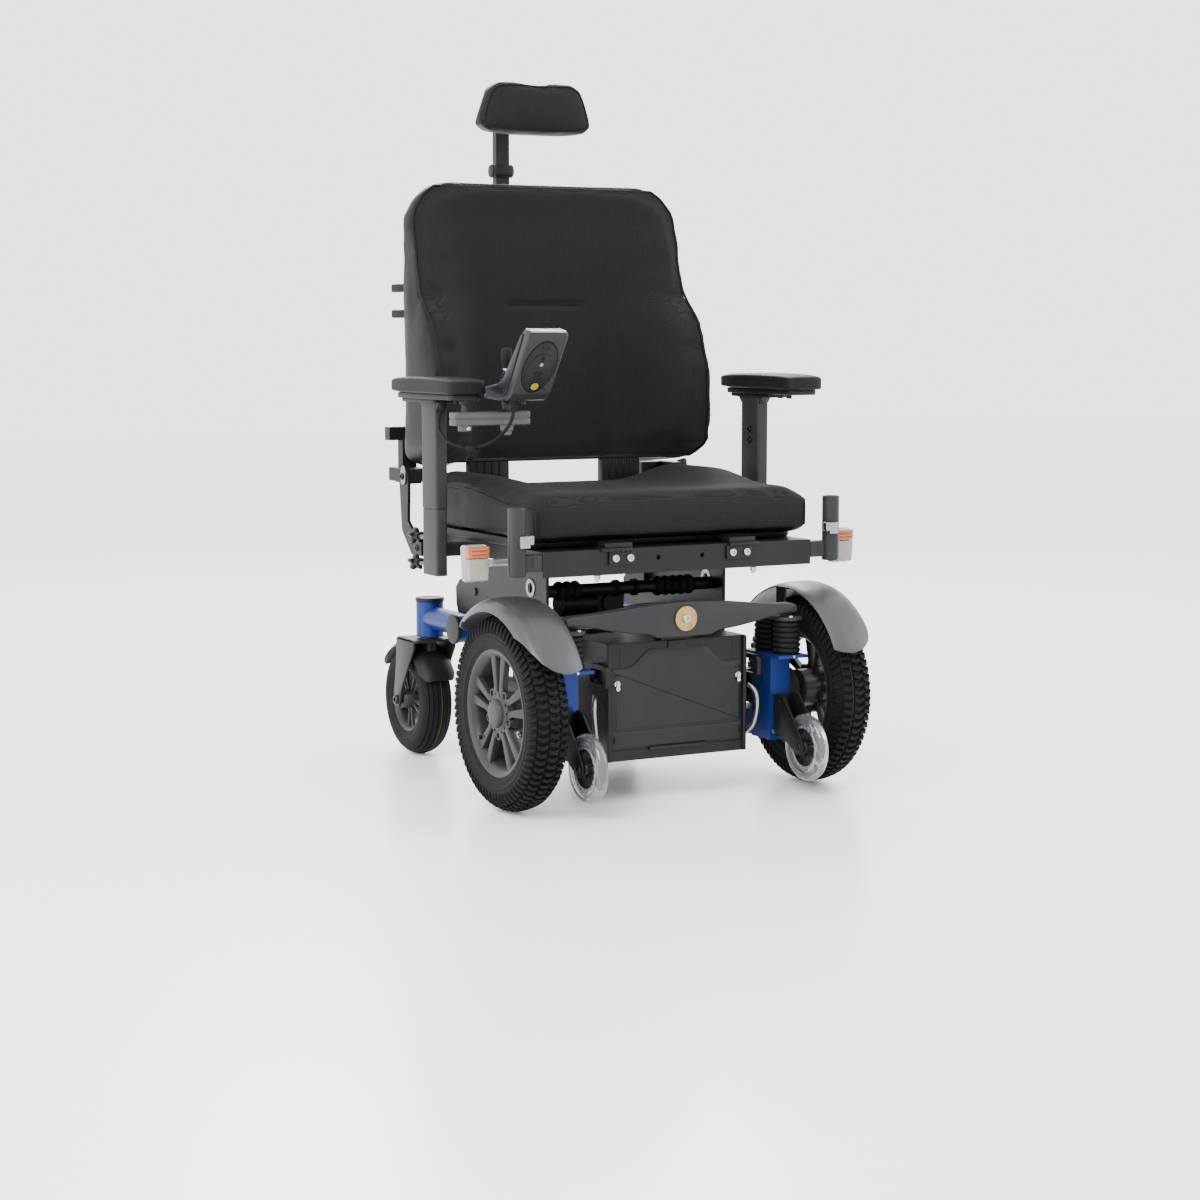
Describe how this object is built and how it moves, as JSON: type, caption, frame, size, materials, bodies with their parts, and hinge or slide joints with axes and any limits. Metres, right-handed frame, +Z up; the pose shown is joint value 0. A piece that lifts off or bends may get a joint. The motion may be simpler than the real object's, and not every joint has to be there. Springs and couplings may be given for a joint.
{
  "type": "power wheelchair",
  "caption": "Front-wheel-drive power wheelchair: rocking front crossbar, rear casters, tilting wide seat, reclining contoured back, headrest, height-adjustable armrests and swing-away joystick.",
  "frame": {"origin": "floor level under the middle of the chair's bounding box", "axes": "+Z up, -Y is the driving direction, +X is the user's left"},
  "size_m": [0.82, 0.93, 1.348],
  "materials": {
    "battery_box_black": "satin powder coat",
    "battery_case": "matte",
    "blue_coat": "satin powder coat",
    "black_plastic": "fine texture",
    "grey_coat": "textured powder coat",
    "brass": "brushed",
    "motor_metal": "satin",
    "fender_silver": "metallic satin",
    "rubber": "matte",
    "tyre_black": "matte",
    "rim_grey": "satin",
    "clear_tyre": "clear",
    "hub_dark": "satin",
    "chrome": "polished",
    "seat_mesh": "spacer mesh",
    "lamp_silver": "satin",
    "lamp_lens": "clear amber",
    "pad_skin": "soft moulded skin"
  },
  "bodies": {
    "chassis": {"battery_box": "battery_box_black", "batteries": "battery_case", "rear_beam": "blue_coat", "beam_caps": "black_plastic", "tie_down_loops": "battery_box_black", "module_side_plates": "battery_box_black", "tilt_actuator": "black_plastic", "module_cross_tube": "battery_box_black"},
    "crossbar": {"crossbar": "grey_coat", "crossbar_washer": "brass"},
    "battery_cover": {"battery_cover": "black_plastic"},
    "seat": {"seat_frame": "battery_box_black", "seat_cushion": "seat_mesh", "legrest_receivers": "grey_coat", "lamp_housings": "lamp_silver", "lamp_lenses": "lamp_lens", "rail_bolts": "chrome"},
    "backrest": {"back_shell": "black_plastic", "back_cushion": "seat_mesh"},
    "headrest_post": {"headrest_stem": "battery_box_black"},
    "headrest": {"headrest_pad": "seat_mesh", "headrest_bracket": "battery_box_black"},
    "joystick_arm": {"swing_arm": "grey_coat", "controller_case": "black_plastic"},
    "stick_gimbal": {"stick_gimbal": "black_plastic"},
    "joystick_lever": {"joystick_lever": "black_plastic"},
    "right_arm": {"right_drive_arm": "blue_coat", "right_gear_motor": "motor_metal", "right_fender": "fender_silver", "right_anti_tip_fork": "battery_box_black", "right_bellows": "rubber"},
    "right_wheel": {"right_drive_tyre": "tyre_black", "right_drive_rim": "rim_grey"},
    "right_anti_tip": {"right_anti_tip_tyre": "clear_tyre", "right_anti_tip_hub": "hub_dark"},
    "right_caster": {"right_caster_fork": "grey_coat"},
    "right_caster_wheel": {"right_caster_tyre": "tyre_black", "right_caster_rim": "rim_grey"},
    "right_latch": {"right_cover_latch": "chrome"},
    "right_armrest": {"right_arm_post": "grey_coat", "right_arm_pad": "pad_skin", "joystick_cable": "rubber"},
    "right_knob": {"right_clamp_knob": "black_plastic"},
    "left_arm": {"left_drive_arm": "blue_coat", "left_gear_motor": "motor_metal", "left_fender": "fender_silver", "left_anti_tip_fork": "battery_box_black", "left_bellows": "rubber"},
    "left_wheel": {"left_drive_tyre": "tyre_black", "left_drive_rim": "rim_grey"},
    "left_anti_tip": {"left_anti_tip_tyre": "clear_tyre", "left_anti_tip_hub": "hub_dark"},
    "left_caster": {"left_caster_fork": "grey_coat"},
    "left_caster_wheel": {"left_caster_tyre": "tyre_black", "left_caster_rim": "rim_grey"},
    "left_latch": {"left_cover_latch": "chrome"},
    "left_armrest": {"left_arm_post": "grey_coat", "left_arm_pad": "pad_skin"},
    "left_knob": {"left_clamp_knob": "black_plastic"}
  },
  "joints": [
    {"name": "crossbar_rock", "type": "hinge", "parent": "chassis", "child": "crossbar", "pos_m": [0, -0.3335, 0.337], "axis": [0, 1, 0], "range_deg": [-4, 4]},
    {"name": "cover_hinge", "type": "hinge", "parent": "chassis", "child": "battery_cover", "pos_m": [0, -0.3225, 0.098], "axis": [1, 0, 0], "range_deg": [0, 90]},
    {"name": "right_arm_pivot", "type": "hinge", "parent": "chassis", "child": "right_arm", "pos_m": [-0.225, -0.0645, 0.118], "axis": [1, 0, 0], "range_deg": [-4, 4], "deforming": ["right_bellows"]},
    {"name": "right_wheel_spin", "type": "hinge", "parent": "right_arm", "child": "right_wheel", "pos_m": [-0.317, -0.2695, 0.178], "axis": [1, 0, 0], "continuous": true},
    {"name": "right_anti_tip_spin", "type": "hinge", "parent": "right_arm", "child": "right_anti_tip", "pos_m": [-0.23, -0.4025, 0.089], "axis": [1, 0, 0], "continuous": true},
    {"name": "right_caster_swivel", "type": "hinge", "parent": "chassis", "child": "right_caster", "pos_m": [-0.216, 0.2925, 0.27], "axis": [0, 0, 1], "continuous": true},
    {"name": "right_caster_spin", "type": "hinge", "parent": "right_caster", "child": "right_caster_wheel", "pos_m": [-0.216, 0.3525, 0.1125], "axis": [1, 0, 0], "continuous": true},
    {"name": "right_latch_turn", "type": "hinge", "parent": "battery_cover", "child": "right_latch", "pos_m": [-0.128, -0.3245, 0.222], "axis": [0, 1, 0], "range_deg": [0, 90]},
    {"name": "right_armrest_height", "type": "slide", "parent": "seat", "child": "right_armrest", "axis": [0, 0, 1], "range_m": [0, 0.08]},
    {"name": "right_knob_turn", "type": "hinge", "parent": "seat", "child": "right_knob", "pos_m": [-0.349, 0.0555, 0.471], "axis": [0, 1, 0], "continuous": true},
    {"name": "left_arm_pivot", "type": "hinge", "parent": "chassis", "child": "left_arm", "pos_m": [0.225, -0.0645, 0.118], "axis": [1, 0, 0], "range_deg": [-4, 4], "deforming": ["left_bellows"]},
    {"name": "left_wheel_spin", "type": "hinge", "parent": "left_arm", "child": "left_wheel", "pos_m": [0.317, -0.2695, 0.178], "axis": [1, 0, 0], "continuous": true},
    {"name": "left_anti_tip_spin", "type": "hinge", "parent": "left_arm", "child": "left_anti_tip", "pos_m": [0.23, -0.4025, 0.089], "axis": [1, 0, 0], "continuous": true},
    {"name": "left_caster_swivel", "type": "hinge", "parent": "chassis", "child": "left_caster", "pos_m": [0.216, 0.2925, 0.27], "axis": [0, 0, 1], "continuous": true},
    {"name": "left_caster_spin", "type": "hinge", "parent": "left_caster", "child": "left_caster_wheel", "pos_m": [0.216, 0.3525, 0.1125], "axis": [1, 0, 0], "continuous": true},
    {"name": "left_latch_turn", "type": "hinge", "parent": "battery_cover", "child": "left_latch", "pos_m": [0.128, -0.3245, 0.222], "axis": [0, 1, 0], "range_deg": [0, 90]},
    {"name": "left_armrest_height", "type": "slide", "parent": "seat", "child": "left_armrest", "axis": [0, 0, 1], "range_m": [0, 0.08]},
    {"name": "left_knob_turn", "type": "hinge", "parent": "seat", "child": "left_knob", "pos_m": [0.349, 0.0555, 0.471], "axis": [0, 1, 0], "continuous": true},
    {"name": "seat_tilt", "type": "hinge", "parent": "chassis", "child": "seat", "pos_m": [0, 0.1305, 0.35], "axis": [-1, 0, 0], "range_deg": [0, 25]},
    {"name": "back_recline", "type": "hinge", "parent": "seat", "child": "backrest", "pos_m": [0, 0.1925, 0.575], "axis": [-1, 0, 0], "range_deg": [0, 30]},
    {"name": "headrest_height", "type": "slide", "parent": "backrest", "child": "headrest_post", "axis": [0, 0, 1], "range_m": [-0.05, 0.08]},
    {"name": "headrest_tilt", "type": "hinge", "parent": "headrest_post", "child": "headrest", "pos_m": [0, 0.3245, 1.286], "axis": [1, 0, 0], "range_deg": [-15, 15]},
    {"name": "joystick_swing", "type": "hinge", "parent": "right_armrest", "child": "joystick_arm", "pos_m": [-0.36, -0.1795, 0.7], "axis": [0, 0, -1], "range_deg": [0, 90], "deforming": ["joystick_cable"]},
    {"name": "stick_fore_aft", "type": "hinge", "parent": "joystick_arm", "child": "stick_gimbal", "pos_m": [-0.2765, -0.1795, 0.76], "axis": [1, 0, 0], "range_deg": [-16, 16], "stiffness_Nm_per_rad": 0.15},
    {"name": "stick_side", "type": "hinge", "parent": "stick_gimbal", "child": "joystick_lever", "pos_m": [-0.2765, -0.1795, 0.76], "axis": [0, 1, 0], "range_deg": [-16, 16], "stiffness_Nm_per_rad": 0.15}
  ],
  "couplings": [
    {"joint": "right_arm_pivot", "follows": "crossbar_rock", "ratio": -0.95},
    {"joint": "left_arm_pivot", "follows": "crossbar_rock", "ratio": 0.95}
  ]
}
